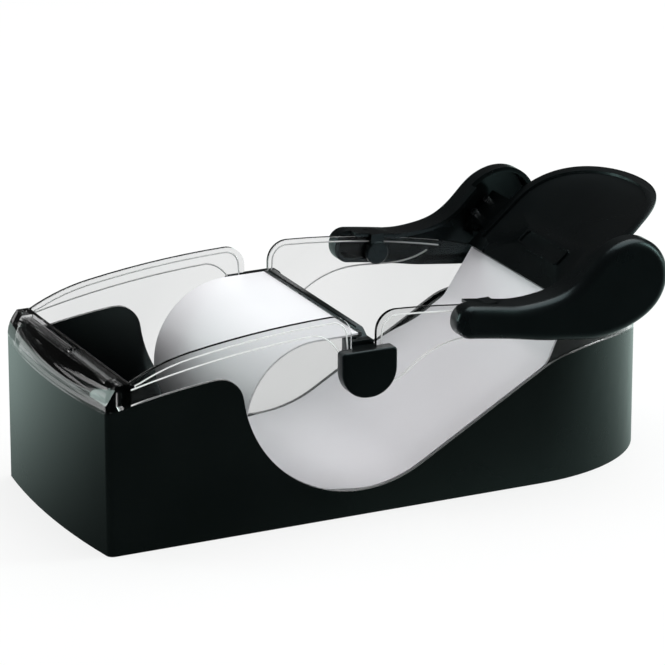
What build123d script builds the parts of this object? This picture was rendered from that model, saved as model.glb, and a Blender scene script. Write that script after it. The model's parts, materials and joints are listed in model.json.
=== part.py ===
from build123d import *

import os
from math import atan2, cos, degrees, radians, sin, sqrt, tan

# Rice roll press: a black base with a clear rail frame, a cross bar that holds
# one end of a flexible sheet, and a lever that runs along the arched rails and
# carries the other end. Millimetres, +Z up, +X from the bay end to the lever
# end. The origin lies on the rest plane under the middle of the cross bar.

# Base, seen from above
base_width = 110.0
base_wall = 2.5
bay_corner_x = -117.5
bay_bulge = 4.0
bay_corner_radius = 3.0
round_end_x = 153.0
round_end_length = 69.0

# Base, seen from the side
bay_end_height = 60.6
bay_mid_x = -92.0
bay_mid_height = 67.3
hump_height = 70.9
hump_radius = 12.0
valley_x = -1.0
valley_floor = 11.0
valley_radius = 55.5
ramp_slope = 30.0
crest_x = 89.0
crest_radius = 30.0
deck_mid_x = 115.0
deck_mid_height = 58.0
deck_end_height = 48.8
floor_drop = 1.0
skirt_spare = 1.0

# Bottom plate, its screws and pads, placed by x and the distance in from a side
plate_thickness = 2.0
plate_gap = 0.2
boss_radius = 4.0
screw_radius = 1.3
screw_head_radius = 2.6
screw_head_height = 1.4
screw_length = 6.0
plate_screw_places = ((-92.0, 13.0), (-20.0, 13.0), (62.0, 13.0), (124.0, 29.0))
pad_radius = 7.0
pad_thickness = 1.2
pad_places = {"bay": (-106.0, 25.0), "lever": (106.0, 27.0)}

# Clear rail frame
rail_radius = 440.0
rail_apex_x = -8.0
rail_apex_z = 89.5
rail_wall = 2.5
rail_spare = 10.0
rail_drop_x = -80.0
rail_seat_gap = 0.05
rail_corner_radius = 9.0
notch_left = -6.3
notch_right = 5.3
notch_floor = 72.0
band_depth = 0.5
band_height_left = 6.3
band_bend_x = -24.0
band_end_x = 90.0
band_dip = (
    (-15.0, 77.4),
    (-9.5, 68.0),
    (0.0, 58.0),
    (13.0, 57.8),
    (25.5, 65.8),
    (44.4, 71.9),
    (66.0, 71.0),
)

# Clear bridge at the bay end
bridge_inner_x = -107.0
bridge_foot = 55.0
bridge_top = 74.5
bridge_brow_x = -116.6
bridge_cheek_x = -120.4
bridge_cheek_z = 68.5
bridge_wall = 2.2
channel_x = -111.9
channel_width = 6.4
channel_depth = 2.4
channel_end_gap = 9.0
channel_sill = 1.2
rib_count = 4
rib_width = 0.7
rib_height = 1.6

# Cross bar and the saddles that carry it
bar_x = 2.5
bar_width = 3.4
bar_top = 79.8
bar_bottom = 73.0
bar_end_inset = 4.5
bar_shoulder_inset = 9.5
bar_end_top = 76.4
bar_fit = 0.1
bar_edge_radius = 0.8
saddle_half_width = 12.7
saddle_height = 21.0
saddle_top = 74.8
saddle_thickness = 5.6
saddle_gap = 0.2
saddle_block_length = 8.4
saddle_block_top = 76.8
saddle_block_bottom = 68.0
saddle_edge_radius = 1.2
saddle_corner_radius = 1.8
saddle_roundness = 0.96
saddle_dimple_x = -3.0
saddle_dimple_radius = 1.9
saddle_dimple_depth = 1.2
anchor_radius = 0.9
anchor_sink = 0.5

# Flexible sheet
sheet_side_gap = 5.75
sheet_thickness = 0.8
sheet_gap = 0.3
loop_x = -18.5
loop_top = 77.8
sheet_lift_x = 89.0
sheet_lift_radius = 10.0
sheet_turn_radius = 4.0
sheet_grip = 6.5

# Lever arms
arm_gap = 1.0
arm_thickness = 10.0
arm_skin = 2.2
arm_edge_radius = 4.5
arm_left_x = 39.0
arm_round = 7.0
arm_drop = 12.6
arm_rise = 1.9
arm_top_end_x = 64.0
arm_bottom_end_x = 76.0
bulb = (
    (92.6, 66.3),
    (108.7, 65.4),
    (123.3, 69.0),
    (135.4, 77.5),
    (139.7, 90.4),
    (135.2, 101.8),
    (126.5, 106.9),
    (116.5, 106.3),
    (107.9, 101.8),
    (96.1, 90.9),
    (88.9, 87.2),
    (79.3, 85.3),
)
bulb_steps = 12
flange_gap = 0.4
flange_reach = 5.0
flange_thickness = 1.8
flange_start_x = 47.0
flange_end_x = 107.0

# Lever leaf
leaf_edge_x = 100.5
leaf_edge_z = 77.5
leaf_bend_x = 122.0
leaf_bend_z = 96.0
leaf_tip_x = 162.0
leaf_tip_z = 112.3
leaf_side_gap = 6.5
leaf_round_x = 122.0
leaf_thickness = 3.0
leaf_lip = 1.0
leaf_lip_inset = 2.0
leaf_rim = 4.5
leaf_dish = 1.2
frame_place = 16.0
frame_length = 37.0
frame_width = 9.4
frame_line = 1.4
frame_rise = 0.8
tab_start_x = 108.0
tab_end_x = 121.0
tab_depth = 6.0
tab_fit = 0.1
shelf_thickness = 2.0
lever_screw_places = (14.0, 22.0)
lever_screw_depth = 4.0
lever_screw_radius = 0.9
lever_screw_head_radius = 1.7
lever_screw_head_height = 1.1

# Guides that hook over the rails, and the strip that clamps the sheet
guide_x = 57.3
guide_drop = 6.65
guide_radius = 5.3
guide_thickness = 3.0
guide_gap = 0.3
guide_width = 6.0
guide_roof = 1.2
guide_leg_thickness = 1.9
guide_leg_length = 11.5
guide_edge = 0.6
guide_fit = 0.15
clamp_thickness = 2.2
clamp_length = 8.0
clamp_fit = 0.1
clamp_screw_places = (-34.0, 0.0, 34.0)
clamp_screw_place = 4.6
clamp_screw_radius = 0.9
clamp_screw_head_radius = 1.8
clamp_screw_head_height = 1.2
clamp_screw_bite = 1.3

# Worked out from the sizes above
half_width = base_width / 2
base_length = round_end_x - bay_corner_x + bay_bulge
inner_half = half_width - base_wall
valley_z = valley_floor + valley_radius
round_centre_x = round_end_x - round_end_length
rail_centre_z = rail_apex_z - rail_radius
body_height = rail_apex_z + rail_spare
arm_inner_y = half_width + arm_gap
bar_reach = inner_half - bar_end_inset
bar_shoulder = inner_half - bar_shoulder_inset
sheet_width = 2 * (inner_half - sheet_side_gap)
leaf_half_width = inner_half - leaf_side_gap
tab_reach = arm_inner_y + tab_depth
lever_screw_y = arm_inner_y + lever_screw_depth
slope = radians(ramp_slope)
notch_x = (notch_left + notch_right) / 2
bar_left = bar_x - bar_width / 2
anchor_x = bar_left + anchor_sink
leaf_angle = atan2(leaf_bend_z - leaf_edge_z, leaf_bend_x - leaf_edge_x)
leaf_run = Vector(cos(leaf_angle), sin(leaf_angle))
leaf_down = Vector(sin(leaf_angle), -cos(leaf_angle))
leaf_edge = Vector(leaf_edge_x, leaf_edge_z)
leaf_bend = Vector(leaf_bend_x, leaf_bend_z)
leaf_chord = Vector(leaf_tip_x, leaf_tip_z) - leaf_bend
leaf_curl = leaf_chord.length**2 / (2 * leaf_chord.dot(leaf_down))
leaf_centre = leaf_bend + leaf_down * leaf_curl
lever_screw_spots = [(x, y) for x in lever_screw_places for y in (-lever_screw_y, lever_screw_y)]
clamp_screw_spots = [(clamp_screw_place, y) for y in clamp_screw_places]
leaf_bend_angle = 90 + degrees(leaf_angle)
leaf_tip_angle = degrees(atan2(leaf_tip_z - leaf_centre.Y, leaf_tip_x - leaf_centre.X))
leaf_ceiling = leaf_tip_z + leaf_thickness
leaf_face = Plane(
    origin=(leaf_edge_x, 0, leaf_edge_z),
    x_dir=(leaf_run.X, 0, leaf_run.Y),
    z_dir=(-leaf_down.X, 0, -leaf_down.Y),
)
sides = {"near": -1, "far": 1}
straight_down = 270
half_turn = 180


def rail_z(x, radius):
    """Height of the circle of this radius about the rails' common centre."""
    return rail_centre_z + sqrt(radius**2 - (x - rail_apex_x) ** 2)


def ramp_point(drop):
    """Point where the ramp, lowered by drop, leaves the valley's circle."""
    reach = valley_radius + drop
    return valley_x + reach * sin(slope), valley_z - reach * cos(slope)


def ramp_z(x, drop):
    """Height of the ramp's straight part, lowered by drop."""
    start_x, start_z = ramp_point(drop)
    return start_z + (x - start_x) * tan(slope)


def base_plan(inset):
    """Outline of the base from above, moved inwards by inset."""
    side = half_width - inset
    corner = bay_corner_x + inset
    with BuildSketch() as plan:
        with BuildLine():
            Line((round_centre_x, side), (corner, side))
            ThreePointArc((corner, side), (corner - bay_bulge, 0), (corner, -side))
            Line((corner, -side), (round_centre_x, -side))
            EllipticalCenterArc(
                (round_centre_x, 0), round_end_length - inset, side, -90, arc_size=half_turn
            )
        make_face()
        corners = plan.vertices().sort_by(Axis.X)[:2]
        fillet(corners, bay_corner_radius)
    return plan.sketch


def land(drop, has_hump):
    """Side view of all below the base's top line, lowered by drop."""
    left = bay_corner_x - bay_bulge - base_wall
    right = round_end_x + base_wall
    reach = valley_radius + drop
    end_x, end_z = ramp_point(drop)
    crest = (crest_x, ramp_z(crest_x, drop))
    with BuildSketch() as view:
        with BuildLine():
            if has_hump:
                hump_z = hump_height - drop
                hump_x = valley_x - sqrt(reach**2 - (hump_z - valley_z) ** 2)
                side_angle = degrees(atan2(hump_z - valley_z, hump_x - valley_x))
                valley_start = side_angle if side_angle > 0 else side_angle + 360
                ThreePointArc(
                    (left, bay_end_height - drop),
                    (bay_mid_x, bay_mid_height - drop),
                    (hump_x, hump_z),
                )
            else:
                valley_start = straight_down
                Line((left, valley_z - reach), (valley_x, valley_z - reach))
            valley_end = straight_down + ramp_slope
            CenterArc((valley_x, valley_z), reach, valley_start, valley_end - valley_start)
            Line((end_x, end_z), crest)
            ThreePointArc(
                crest, (deck_mid_x, deck_mid_height - drop), (right, deck_end_height - drop)
            )
            start_z = bay_end_height - drop if has_hump else valley_z - reach
            Polyline(
                (right, deck_end_height - drop),
                (right, -skirt_spare),
                (left, -skirt_spare),
                (left, start_z),
            )
        make_face()
        fillet(view.vertices().sort_by_distance(crest)[0], crest_radius)
        if has_hump:
            fillet(view.vertices().sort_by_distance((hump_x, hump_z))[0], hump_radius)
    return view.sketch


def band_view():
    """Side view of the thinner band along the rails' outer faces."""
    low = rail_radius - band_height_left
    top = rail_radius + band_height_left
    start_x = bridge_inner_x - bridge_wall
    start = (start_x, rail_z(start_x, low))
    bend = (band_bend_x, rail_z(band_bend_x, low))
    mid = (rail_apex_x + start_x) / 2
    end = (band_end_x, rail_z(band_end_x, rail_radius))
    with BuildSketch() as view:
        with BuildLine():
            ThreePointArc(start, (mid, rail_z(mid, low)), bend)
            Spline(bend, *band_dip, end)
            Polyline(end, (band_end_x, rail_z(band_end_x, top)), (start_x, body_height), start)
        make_face()
    return view.sketch


def leaf_strip(over, under):
    """Side view of the layer between over above and under below the leaf's top line."""
    layers = []
    turn = leaf_tip_angle - leaf_bend_angle
    with BuildSketch() as view:
        with BuildLine():
            for depth in (-over, under):
                start = leaf_edge + leaf_down * depth
                bend = leaf_bend + leaf_down * depth
                Line(start, bend)
                curl = CenterArc(leaf_centre, leaf_curl - depth, leaf_bend_angle, turn)
                layers.append((start, curl @ 1))
            (over_start, over_tip), (under_start, under_tip) = layers
            Line(over_start, under_start)
            Line(over_tip, under_tip)
        make_face()
    return view.sketch


def leaf_plan(inset, start_x):
    """Outline of the leaf from above, moved inwards by inset and cut off at start_x."""
    side = leaf_half_width - inset
    with BuildSketch() as plan:
        with Locations((start_x, 0)):
            Rectangle(leaf_round_x - start_x, 2 * side, align=(Align.MIN, Align.CENTER))
        with Locations((leaf_round_x, 0)):
            Ellipse(leaf_tip_x - leaf_round_x - inset, side)
    return plan.sketch


def arm_outline(inset):
    """Side view of a lever arm and its bulb, drawn inset from its edge."""
    top = rail_radius + arm_rise - inset
    bottom = rail_radius - arm_drop + inset
    left_x = arm_left_x + inset
    top_left = (left_x, rail_z(left_x, top))
    bottom_left = (left_x, rail_z(left_x, bottom))
    top_right = (arm_top_end_x, rail_z(arm_top_end_x, top))
    bottom_right = (arm_bottom_end_x, rail_z(arm_bottom_end_x, bottom))
    with BuildSketch() as view:
        with BuildLine(mode=Mode.PRIVATE):
            rim = Spline(bulb[0], *bulb[1:])
        spots = [bulb_spot(rim, step / bulb_steps, inset) for step in range(bulb_steps + 1)]
        with BuildLine():
            Line(top_left, bottom_left)
            low = RadiusArc(bottom_left, bottom_right, bottom)
            high = RadiusArc(top_left, top_right, top)
            Spline(bottom_right, *spots, top_right, tangents=(low % 1, (high % 1) * -1))
        make_face()
        fillet(view.vertices().sort_by(Axis.X)[:2], arm_round - inset)
    return view.sketch


def bulb_spot(rim, share, inset):
    """A point a share of the way round the bulb's rim, moved inwards."""
    way = rim % share
    return rim @ share + Vector(-way.Y, way.X) * inset


def mirrored(places):
    """Spots on both sides, from each place's x and its distance in from the side."""
    return [(x, (half_width - inset) * sign) for x, inset in places for sign in sides.values()]


os.makedirs("parts", exist_ok=True)

# ---- Base shell: skirt, valley floor, ramp and deck in one moulding
with BuildPart() as room_above:
    with BuildSketch():
        add(base_plan(base_wall))
    extrude(amount=body_height)
    with BuildSketch(Plane.XZ):
        add(land(floor_drop, False))
    extrude(amount=base_width, both=True, mode=Mode.SUBTRACT)

with BuildPart() as room_below:
    with BuildSketch():
        add(base_plan(base_wall))
    extrude(amount=body_height)
    with BuildSketch(Plane.XZ):
        add(land(floor_drop + base_wall, False))
    extrude(amount=base_width, both=True, mode=Mode.INTERSECT)

with BuildPart() as base_shell:
    with BuildSketch():
        add(base_plan(0))
    extrude(amount=body_height)
    with BuildSketch(Plane.XZ):
        add(land(0, True))
    extrude(amount=base_width, both=True, mode=Mode.INTERSECT)
    add(room_above.part, mode=Mode.SUBTRACT)
    add(room_below.part, mode=Mode.SUBTRACT)
    with BuildSketch(Plane.XY.offset(plate_thickness)):
        with Locations(*mirrored(plate_screw_places)):
            Circle(boss_radius)
    extrude(until=Until.NEXT)
    with BuildSketch(Plane.XY.offset(plate_thickness)):
        with Locations(*mirrored(plate_screw_places)):
            Circle(screw_radius)
    extrude(amount=screw_length - plate_thickness, mode=Mode.SUBTRACT)
base_shell.part.label = "base_shell"
export_step(base_shell.part, "parts/base_shell.step")

# ---- Bottom plate, flush with the skirt's lower edge
with BuildPart() as base_plate:
    with BuildSketch():
        add(base_plan(base_wall + plate_gap))
    extrude(amount=plate_thickness)
    with BuildSketch():
        with Locations(*mirrored(plate_screw_places)):
            Circle(screw_radius)
    extrude(amount=plate_thickness, mode=Mode.SUBTRACT)
    with BuildSketch():
        with Locations(*mirrored(plate_screw_places)):
            Circle(screw_head_radius)
    extrude(amount=screw_head_height, mode=Mode.SUBTRACT)
    with BuildSketch():
        with Locations(*mirrored(pad_places.values())):
            Circle(pad_radius)
    extrude(amount=pad_thickness, mode=Mode.SUBTRACT)
base_plate.part.label = "base_plate"
export_step(base_plate.part, "parts/base_plate.step")

with BuildPart() as base_screws:
    with BuildSketch():
        with Locations(*mirrored(plate_screw_places)):
            Circle(screw_radius)
    extrude(amount=screw_length)
    with BuildSketch():
        with Locations(*mirrored(plate_screw_places)):
            Circle(screw_head_radius)
    extrude(amount=screw_head_height)
base_screws.part.label = "base_screws"
export_step(base_screws.part, "parts/base_screws.step")

for end, (pad_x, pad_inset) in pad_places.items():
    for side, sign in sides.items():
        with BuildPart() as foot_pad:
            with BuildSketch():
                with Locations((pad_x, sign * (half_width - pad_inset))):
                    Circle(pad_radius)
            extrude(amount=pad_thickness)
        foot_pad.part.label = f"foot_pad_{end}_{side}"
        export_step(foot_pad.part, f"parts/foot_pad_{end}_{side}.step")

# ---- Clear rail frame: both walls and the round end in one moulding
with BuildPart() as rail_frame:
    with BuildSketch():
        add(base_plan(0))
        add(base_plan(rail_wall), mode=Mode.SUBTRACT)
    extrude(amount=body_height)
    with BuildSketch(Plane.XZ) as rail_view:
        with BuildLine():
            rail_end_x = round_end_x + rail_wall
            rail_corner = (bridge_inner_x, bridge_top)
            rail_run = ThreePointArc(
                (rail_drop_x, rail_z(rail_drop_x, rail_radius)),
                (rail_apex_x, rail_apex_z),
                (rail_end_x, rail_z(rail_end_x, rail_radius)),
            )
            TangentArc(rail_run @ 0, rail_corner, tangent=(rail_run % 0) * -1)
            Polyline(rail_run @ 1, (rail_end_x, 0), (bridge_inner_x, 0), rail_corner)
        make_face()
        add(land(-rail_seat_gap, True), mode=Mode.SUBTRACT)
        with Locations(((notch_left + notch_right) / 2, notch_floor)):
            Rectangle(
                notch_right - notch_left,
                body_height,
                align=(Align.CENTER, Align.MIN),
                mode=Mode.SUBTRACT,
            )
        for lip_x in (notch_left, notch_right):
            lip = (lip_x, rail_z(lip_x, rail_radius))
            fillet(rail_view.vertices().sort_by_distance(lip)[0], rail_corner_radius)
    extrude(amount=base_width, both=True, mode=Mode.INTERSECT)
    with BuildSketch(Plane.XZ.offset(half_width)) as band_near:
        add(band_view())
    extrude(amount=-band_depth, mode=Mode.SUBTRACT)
    with BuildSketch(Plane.XZ.offset(-half_width)) as band_far:
        add(band_view())
    extrude(amount=band_depth, mode=Mode.SUBTRACT)
rail_frame.part.label = "rail_frame"
export_step(rail_frame.part, "parts/rail_frame.step")

# ---- Clear bridge across the bay end, with a channel along its top
bulge_radius = (half_width**2 + bay_bulge**2) / (2 * bay_bulge)
bulge_centre_x = bay_corner_x - bay_bulge + bulge_radius
with BuildPart() as end_bridge:
    with BuildSketch(Plane.XZ):
        with BuildLine():
            foot = (bay_corner_x - bay_bulge, bridge_foot)
            brow = (bridge_brow_x, bridge_top)
            ThreePointArc(foot, (bridge_cheek_x, bridge_cheek_z), brow)
            Polyline(brow, (bridge_inner_x, bridge_top), (bridge_inner_x, bridge_foot), foot)
        make_face()
    revolve(axis=Axis((bulge_centre_x, 0, 0), (0, 0, 1)))
    with BuildSketch():
        add(base_plan(0))
        with Locations((bridge_inner_x, 0)):
            Rectangle(
                base_length,
                base_width,
                align=(Align.MIN, Align.CENTER),
                mode=Mode.SUBTRACT,
            )
    extrude(amount=body_height, mode=Mode.INTERSECT)
    with BuildSketch(Plane.XZ):
        add(land(0, True))
    extrude(amount=base_width, both=True, mode=Mode.SUBTRACT)
    with BuildSketch() as bridge_hollow:
        add(base_plan(bridge_wall + bay_bulge))
        with Locations((bridge_inner_x - bridge_wall, 0)):
            Rectangle(
                base_length,
                base_width,
                align=(Align.MIN, Align.CENTER),
                mode=Mode.SUBTRACT,
            )
    extrude(amount=bridge_top - channel_depth - bridge_wall, mode=Mode.SUBTRACT)
    with BuildSketch(Plane.XY.offset(bridge_top)):
        with Locations((channel_x, 0)):
            Rectangle(channel_width, base_width - 2 * channel_end_gap)
    extrude(amount=-channel_depth, mode=Mode.SUBTRACT)
    with BuildSketch(Plane.XY.offset(bridge_top - channel_depth)):
        with Locations((channel_x, channel_sill / 2)):
            Rectangle(channel_width, channel_sill)
    extrude(amount=channel_depth - channel_sill)
    rib_length = half_width - channel_end_gap
    rib_pitch = channel_width / (rib_count + 1)
    with BuildSketch(Plane.XY.offset(bridge_top - channel_depth)):
        with Locations((channel_x, rib_length / 2)):
            with GridLocations(rib_pitch, 0, rib_count, 1):
                Rectangle(rib_width, rib_length)
    extrude(amount=rib_height)
end_bridge.part.label = "end_bridge"
export_step(end_bridge.part, "parts/end_bridge.step")

# ---- Cross bar: an upright blade whose ends step down over the walls
with BuildPart() as cross_bar:
    with BuildSketch(Plane.YZ.offset(bar_x - bar_width / 2)):
        with BuildLine():
            Polyline(
                (-bar_reach, bar_bottom),
                (-bar_reach, bar_end_top),
                (-bar_shoulder, bar_top),
                (bar_shoulder, bar_top),
                (bar_reach, bar_end_top),
                (bar_reach, bar_bottom),
                close=True,
            )
        make_face()
    extrude(amount=bar_width)
    top_edges = cross_bar.edges().filter_by(Axis.Y).group_by(Axis.Z)[-1]
    fillet(top_edges, bar_edge_radius)
    with BuildSketch(Plane.XZ.offset(-half_width)):
        with Locations((anchor_x, loop_top)):
            Circle(anchor_radius + bar_fit)
    extrude(amount=base_width, mode=Mode.SUBTRACT)
cross_bar.part.label = "cross_bar"
export_step(cross_bar.part, "parts/cross_bar.step")

with BuildPart() as anchor_rod:
    with BuildSketch(Plane.XZ):
        with Locations((anchor_x, loop_top)):
            Circle(anchor_radius)
    extrude(amount=sheet_width / 2, both=True)
anchor_rod.part.label = "anchor_rod"
export_step(anchor_rod.part, "parts/anchor_rod.step")

# ---- Saddles: a cap outside each wall, joined through the notch to a block inside
saddle_outer_y = half_width + saddle_gap
block_outer_y = inner_half - saddle_gap
block_inner_y = block_outer_y - saddle_block_length
notch_width = notch_right - notch_left - 2 * saddle_gap
with BuildPart() as saddle_far:
    with BuildSketch(Plane.XZ.offset(-saddle_outer_y)) as cap_view:
        with Locations((notch_x, saddle_top)):
            Rectangle(2 * saddle_half_width, saddle_height, align=(Align.CENTER, Align.MAX))
        fillet(cap_view.vertices().group_by(Axis.Y)[0], saddle_half_width * saddle_roundness)
        fillet(cap_view.vertices().group_by(Axis.Y)[-1], saddle_corner_radius)
    extrude(amount=-saddle_thickness)
    fillet(saddle_far.faces().sort_by(Axis.Y)[-1].edges(), saddle_edge_radius)
    with BuildSketch(Plane.XZ.offset(-block_outer_y)):
        with Locations((notch_x, saddle_top)):
            Rectangle(
                notch_width,
                saddle_top - notch_floor - saddle_gap,
                align=(Align.CENTER, Align.MAX),
            )
    extrude(amount=block_outer_y - saddle_outer_y - saddle_thickness / 2)
    with BuildSketch(Plane.XZ.offset(-block_inner_y)) as block_view:
        with Locations((notch_x, saddle_block_top)):
            Rectangle(
                notch_width,
                saddle_block_top - saddle_block_bottom,
                align=(Align.CENTER, Align.MAX),
            )
        fillet(block_view.vertices().group_by(Axis.Y)[-1], saddle_edge_radius)
    extrude(amount=-saddle_block_length)
    with BuildSketch(Plane.XY.offset(bar_bottom)):
        with Locations((bar_x, 0)):
            Rectangle(bar_width + 2 * bar_fit, 2 * (bar_reach + bar_fit))
    extrude(amount=bar_top - bar_bottom, mode=Mode.SUBTRACT)
    with BuildSketch(Plane.XY.offset(saddle_block_top)):
        with Locations((saddle_dimple_x, (block_inner_y + block_outer_y) / 2)):
            Circle(saddle_dimple_radius)
    extrude(amount=-saddle_dimple_depth, mode=Mode.SUBTRACT)
saddle_far.part.label = "saddle_far"
export_step(saddle_far.part, "parts/saddle_far.step")

with BuildPart() as saddle_near:
    mirror(saddle_far.part, about=Plane.XZ)
saddle_near.part.label = "saddle_near"
export_step(saddle_near.part, "parts/saddle_near.step")

# ---- Sheet: from the bar round the loop, along the valley and ramp to the leaf
sheet_drop = floor_drop - sheet_gap - sheet_thickness / 2
loop_bottom = valley_z - valley_radius - sheet_drop
loop_radius = (loop_top - loop_bottom) / 2
sheet_depth = leaf_thickness + clamp_fit + sheet_thickness / 2
grip_start = leaf_edge + leaf_down * sheet_depth
grip_end = grip_start + leaf_run * sheet_grip
ramp_start = ramp_point(sheet_drop)
with BuildPart() as sheet:
    with BuildSketch(Plane.XZ):
        with BuildLine() as sheet_line:
            Line((anchor_x - anchor_radius, loop_top), (loop_x, loop_top))
            CenterArc((loop_x, loop_top - loop_radius), loop_radius, 90, 180)
            Line((loop_x, loop_bottom), (valley_x, loop_bottom))
            CenterArc((valley_x, valley_z), valley_radius + sheet_drop, 270, ramp_slope)
            lift = (sheet_lift_x, ramp_z(sheet_lift_x, sheet_drop))
            FilletPolyline(
                ramp_start,
                lift,
                grip_start,
                grip_end,
                radius=(sheet_lift_radius, sheet_turn_radius),
            )
        trace(line_width=sheet_thickness)
    extrude(amount=sheet_width / 2, both=True)
    with BuildSketch(leaf_face.offset(-leaf_thickness)):
        with Locations(*clamp_screw_spots):
            Circle(clamp_screw_radius)
    extrude(amount=-clamp_length, mode=Mode.SUBTRACT)
sheet.part.label = "sheet"
export_step(sheet.part, "parts/sheet.step")

# ---- Shallow dish in the leaf's top face
with BuildPart() as leaf_hollow:
    with BuildSketch():
        add(leaf_plan(leaf_rim, leaf_edge_x + leaf_rim))
    extrude(amount=leaf_ceiling)
    with BuildSketch(Plane.XZ):
        add(leaf_strip(leaf_thickness, leaf_dish))
    extrude(amount=leaf_half_width, both=True, mode=Mode.INTERSECT)

# ---- Lever leaf: a curled plate with a raised rim and tabs into the arms
tab_x = (tab_start_x + tab_end_x) / 2
with BuildPart() as leaf_body:
    with BuildSketch(Plane.XZ):
        add(leaf_strip(-leaf_lip, leaf_thickness))
    extrude(amount=tab_reach, both=True)
    with BuildSketch():
        add(leaf_plan(leaf_lip_inset, 0))
        with Locations((tab_x, 0)):
            Rectangle(tab_end_x - tab_start_x, 2 * tab_reach)
    extrude(amount=leaf_ceiling, mode=Mode.INTERSECT)

with BuildPart() as lever_leaf:
    with BuildSketch(Plane.XZ):
        add(leaf_strip(0, leaf_lip))
    extrude(amount=tab_reach, both=True)
    with BuildSketch():
        add(leaf_plan(0, 0))
        with Locations((tab_x, 0)):
            Rectangle(tab_end_x - tab_start_x, 2 * tab_reach)
    extrude(amount=leaf_ceiling, mode=Mode.INTERSECT)
    add(leaf_body.part)
    add(leaf_hollow.part, mode=Mode.SUBTRACT)
    with BuildSketch(leaf_face.offset(-leaf_dish)):
        with Locations((frame_place, 0)):
            Rectangle(frame_width, frame_length)
            Rectangle(
                frame_width - 2 * frame_line, frame_length - 2 * frame_line, mode=Mode.SUBTRACT
            )
    extrude(amount=frame_rise)
    with BuildSketch(leaf_face):
        with Locations(*lever_screw_spots):
            Circle(lever_screw_radius)
    extrude(amount=-leaf_thickness, mode=Mode.SUBTRACT)
    with BuildSketch(leaf_face.offset(-leaf_thickness)):
        with Locations(*clamp_screw_spots):
            Circle(clamp_screw_radius)
    extrude(amount=clamp_screw_bite, mode=Mode.SUBTRACT)
lever_leaf.part.label = "lever_leaf"
export_step(lever_leaf.part, "parts/lever_leaf.step")

# ---- Lever arms: hollow shells, open inwards, with a flange over the rail
arm_hollow_depth = arm_thickness - arm_skin
flange_y = arm_inner_y - flange_reach
slot_y = arm_inner_y + guide_gap + guide_leg_thickness + guide_fit
shelf_over = leaf_thickness + tab_fit
with BuildPart() as lever_arm_far:
    with BuildSketch(Plane.XZ.offset(-arm_inner_y)):
        add(arm_outline(0))
    extrude(amount=-arm_thickness)
    fillet(lever_arm_far.faces().sort_by(Axis.Y)[-1].edges(), arm_edge_radius)
    with BuildSketch(Plane.XZ.offset(-arm_inner_y)):
        add(arm_outline(arm_skin))
    extrude(amount=-arm_hollow_depth, mode=Mode.SUBTRACT)
    with BuildSketch(Plane.XZ.offset(-flange_y)):
        add(arm_outline(0))
        add(arm_outline(flange_thickness), mode=Mode.SUBTRACT)
        with Locations((rail_apex_x, rail_centre_z)):
            Circle(rail_radius + flange_gap, mode=Mode.SUBTRACT)
        with Locations(((flange_start_x + flange_end_x) / 2, 0)):
            Rectangle(flange_end_x - flange_start_x, 2 * leaf_ceiling, mode=Mode.INTERSECT)
    extrude(amount=-flange_reach)
    with BuildSketch(Plane.XZ.offset(-arm_inner_y)):
        add(leaf_strip(-shelf_over, shelf_over + shelf_thickness))
        with Locations((tab_x, 0)):
            Rectangle(tab_end_x - tab_start_x, 2 * leaf_ceiling, mode=Mode.INTERSECT)
    extrude(amount=-arm_hollow_depth)
    with BuildSketch(leaf_face.offset(-shelf_over)):
        with Locations(*lever_screw_spots):
            Circle(lever_screw_radius)
    extrude(amount=-shelf_thickness, mode=Mode.SUBTRACT)
    with BuildSketch(Plane.XY.offset(rail_z(guide_x, rail_radius - guide_roof))):
        with Locations((guide_x, (flange_y + slot_y) / 2)):
            Rectangle(guide_width + 2 * guide_fit, slot_y - flange_y)
    extrude(amount=leaf_ceiling, mode=Mode.SUBTRACT)
lever_arm_far.part.label = "lever_arm_far"
export_step(lever_arm_far.part, "parts/lever_arm_far.step")

with BuildPart() as lever_arm_near:
    mirror(lever_arm_far.part, about=Plane.XZ)
lever_arm_near.part.label = "lever_arm_near"
export_step(lever_arm_near.part, "parts/lever_arm_near.step")

with BuildPart() as lever_screws:
    with BuildSketch(leaf_face):
        with Locations(*lever_screw_spots):
            Circle(lever_screw_radius)
    extrude(amount=-shelf_over - shelf_thickness)
    with BuildSketch(leaf_face):
        with Locations(*lever_screw_spots):
            Circle(lever_screw_head_radius)
    extrude(amount=lever_screw_head_height)
lever_screws.part.label = "lever_screws"
export_step(lever_screws.part, "parts/lever_screws.step")

# ---- Guides: a disc inside the wall, a neck over the rail and a leg in the arm
guide_outer_y = inner_half - guide_gap
guide_inner_y = guide_outer_y - guide_thickness
guide_z = rail_z(guide_x, rail_radius) - guide_drop
guide_base_z = rail_z(guide_x - guide_width / 2, rail_radius) + guide_gap
guide_top_z = guide_base_z + guide_roof
leg_y = arm_inner_y + guide_gap
with BuildPart() as guide_far:
    with BuildSketch(Plane.XZ.offset(-guide_inner_y)):
        with Locations((guide_x, guide_z)):
            Circle(guide_radius)
    extrude(amount=-guide_thickness)
    chamfer(guide_far.faces().sort_by(Axis.Y)[0].edges(), guide_edge)
    with BuildSketch(Plane.XZ.offset(-guide_inner_y - guide_edge)):
        with Locations((guide_x, guide_top_z)):
            Rectangle(guide_width, guide_top_z - guide_z, align=(Align.CENTER, Align.MAX))
    extrude(amount=guide_edge - guide_thickness)
    with BuildSketch(Plane.XZ.offset(-guide_inner_y - guide_edge)):
        with Locations((guide_x, guide_top_z)):
            Rectangle(guide_width, guide_roof, align=(Align.CENTER, Align.MAX))
    extrude(amount=guide_inner_y + guide_edge - leg_y - guide_leg_thickness)
    with BuildSketch(Plane.XZ.offset(-leg_y)):
        with Locations((guide_x, guide_top_z)):
            Rectangle(guide_width, guide_leg_length, align=(Align.CENTER, Align.MAX))
    extrude(amount=-guide_leg_thickness)
guide_far.part.label = "guide_far"
export_step(guide_far.part, "parts/guide_far.step")

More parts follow.
